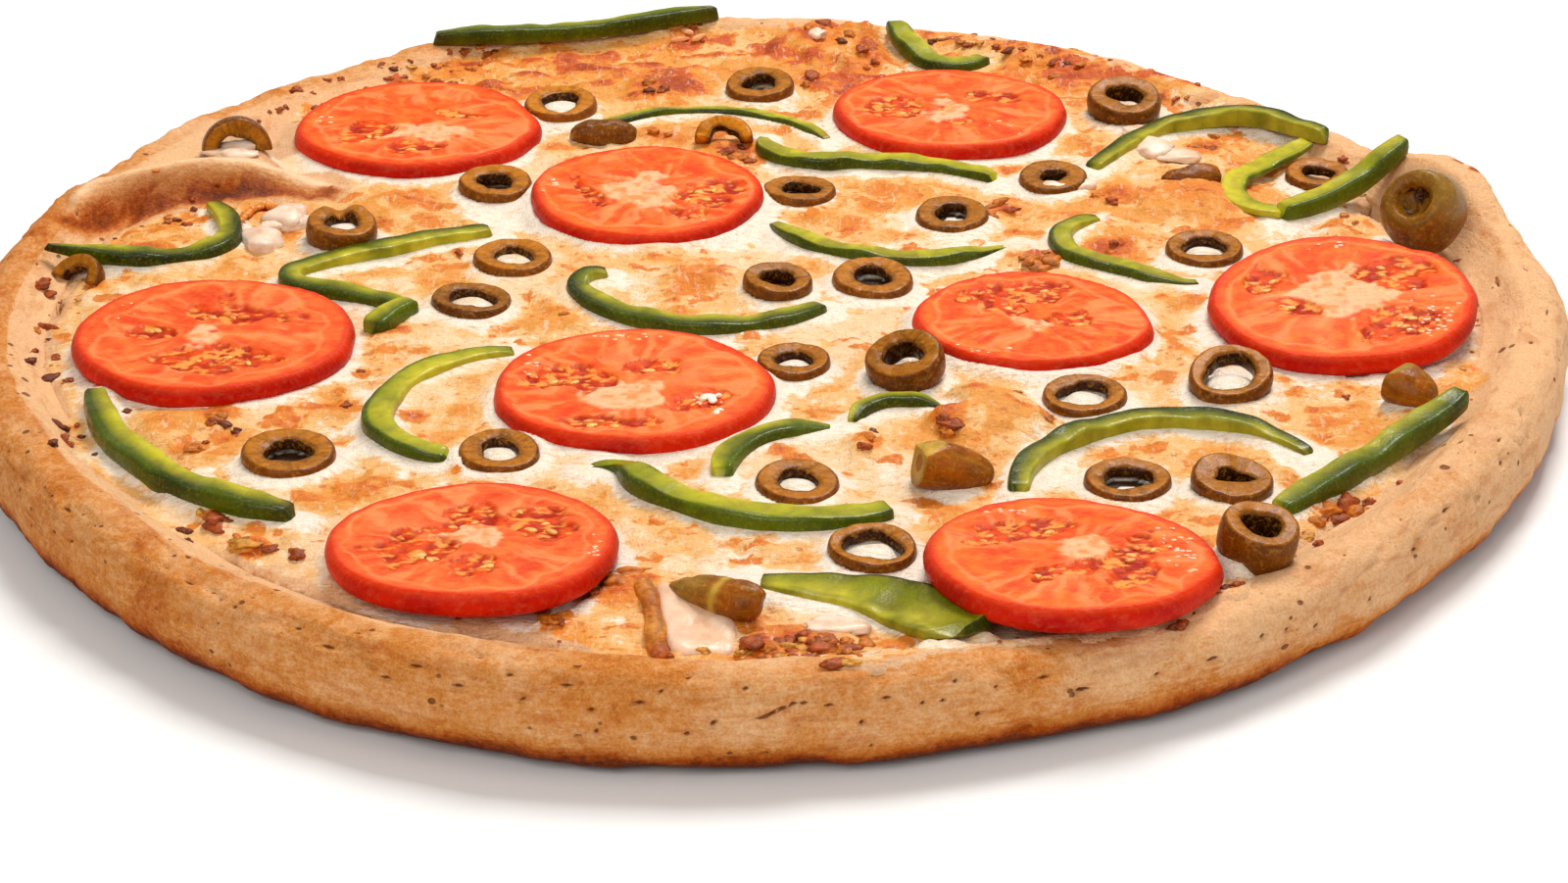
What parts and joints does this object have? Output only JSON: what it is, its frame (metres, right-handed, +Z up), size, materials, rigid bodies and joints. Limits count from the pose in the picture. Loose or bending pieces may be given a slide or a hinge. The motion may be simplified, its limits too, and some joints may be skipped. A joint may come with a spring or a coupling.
{
  "type": "vegetarian pizza",
  "caption": "Whole round baked pizza with a raised dough rim, melted cheese, tomato slices, green pepper strips and olive rings on top.",
  "frame": {"origin": "middle of the flat underside", "axes": "+Z up through the pizza; -Y is the side nearest the picture's camera, +X its right"},
  "size_m": [0.3294, 0.3368, 0.034],
  "materials": {
    "crust": "baked dough, matte, golden tan",
    "cheese": "melted cheese, soft gloss, cream with browned spots",
    "tomato": "cut tomato, wet",
    "green_pepper": "sliced green pepper, glossy skin, pale flesh",
    "olive": "sliced black olive, oily"
  },
  "bodies": {
    "root": {"crust": "crust", "cheese": "cheese", "tomato_1": "tomato", "tomato_2": "tomato", "tomato_3": "tomato", "tomato_4": "tomato", "tomato_5": "tomato", "tomato_6": "tomato", "tomato_7": "tomato", "tomato_8": "tomato", "tomato_9": "tomato", "pepper_01": "green_pepper", "pepper_02": "green_pepper", "pepper_03": "green_pepper", "pepper_04": "green_pepper", "pepper_05": "green_pepper", "pepper_06": "green_pepper", "pepper_07": "green_pepper", "pepper_08": "green_pepper", "pepper_09": "green_pepper", "pepper_10": "green_pepper", "pepper_11": "green_pepper", "pepper_12": "green_pepper", "pepper_13": "green_pepper", "pepper_14": "green_pepper", "pepper_15": "green_pepper", "pepper_16": "green_pepper", "pepper_17": "green_pepper", "pepper_18": "green_pepper", "pepper_19": "green_pepper", "olive_01": "olive", "olive_02": "olive", "olive_03": "olive", "olive_04": "olive", "olive_05": "olive", "olive_06": "olive", "olive_07": "olive", "olive_08": "olive", "olive_09": "olive", "olive_10": "olive", "olive_11": "olive", "olive_12": "olive", "olive_13": "olive", "olive_14": "olive", "olive_15": "olive", "olive_16": "olive", "olive_17": "olive", "olive_18": "olive", "olive_19": "olive", "olive_20": "olive", "olive_21": "olive", "olive_22": "olive", "olive_23": "olive", "olive_24": "olive", "olive_25": "olive", "olive_26": "olive", "olive_27": "olive", "olive_28": "olive", "olive_29": "olive", "olive_30": "olive"}
  },
  "joints": []
}
